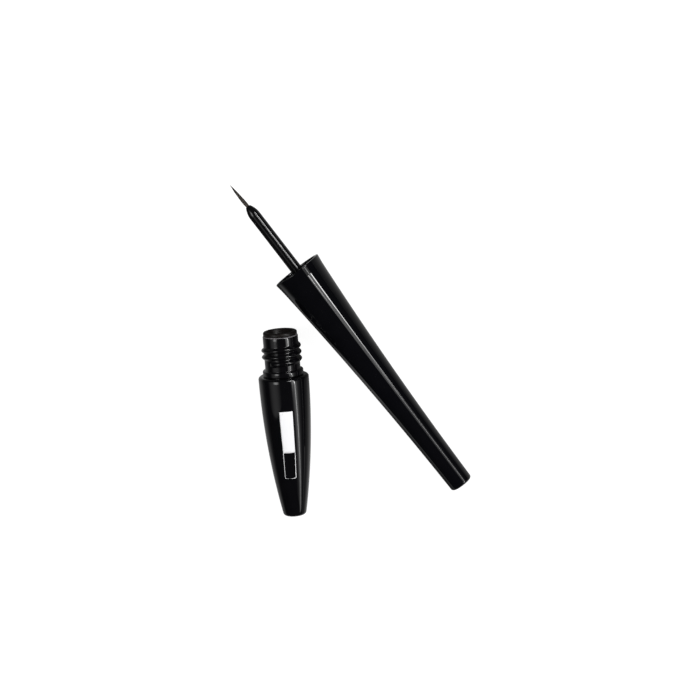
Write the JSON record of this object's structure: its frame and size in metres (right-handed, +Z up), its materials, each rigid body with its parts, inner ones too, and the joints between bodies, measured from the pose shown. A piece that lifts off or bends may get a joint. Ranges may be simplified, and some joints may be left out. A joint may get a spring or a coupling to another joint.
{
  "type": "eyeliner",
  "caption": "Opened dip eyeliner: a barrel bottle with a screw neck and wiper, and its flared handle with a stem and a fine brush, laid side by side.",
  "frame": {"origin": "middle of the table area that the two halves take up, at the table's height", "axes": "+Y along the bottle seen from above, towards its neck; +Z up from the table; +X to the right with the neck pointing away"},
  "size_m": [0.07, 0.1094, 0.0167],
  "materials": {
    "body": "polished black moulding",
    "neck": "glossy black moulding",
    "wiper": "soft dark moulding",
    "ball": "bright ball",
    "handle": "polished black moulding",
    "stem": "satin black moulding",
    "root": "fused hair and glue",
    "hair": "fine brown bristle"
  },
  "bodies": {
    "bottle": {"bottle_sleeve": "body", "bottle_vial": "neck", "neck_wiper": "wiper"},
    "ball": {"mixing_ball": "ball"},
    "applicator": {"handle_shell": "handle", "stem": "stem", "brush_root": "root"},
    "brush": {"brush_hairs": "hair"}
  },
  "joints": [
    {"name": "applicator_swing", "type": "hinge", "parent": "bottle", "child": "applicator", "pos_m": [-0.0219, 0.03323, 0], "axis": [0, 0, 1], "range_deg": [0, 146.7]},
    {"name": "ball_roll", "type": "slide", "parent": "bottle", "child": "ball", "axis": [0, 1, 0.0041], "range_m": [0, 0.03]},
    {"name": "brush_flex", "type": "hinge", "parent": "applicator", "child": "brush", "pos_m": [-0.02996, 0.04703, 0.00976], "axis": [0.0287, -0.0437, 0.9986], "range_deg": [-20, 20], "stiffness_Nm_per_rad": 0.00002}
  ]
}
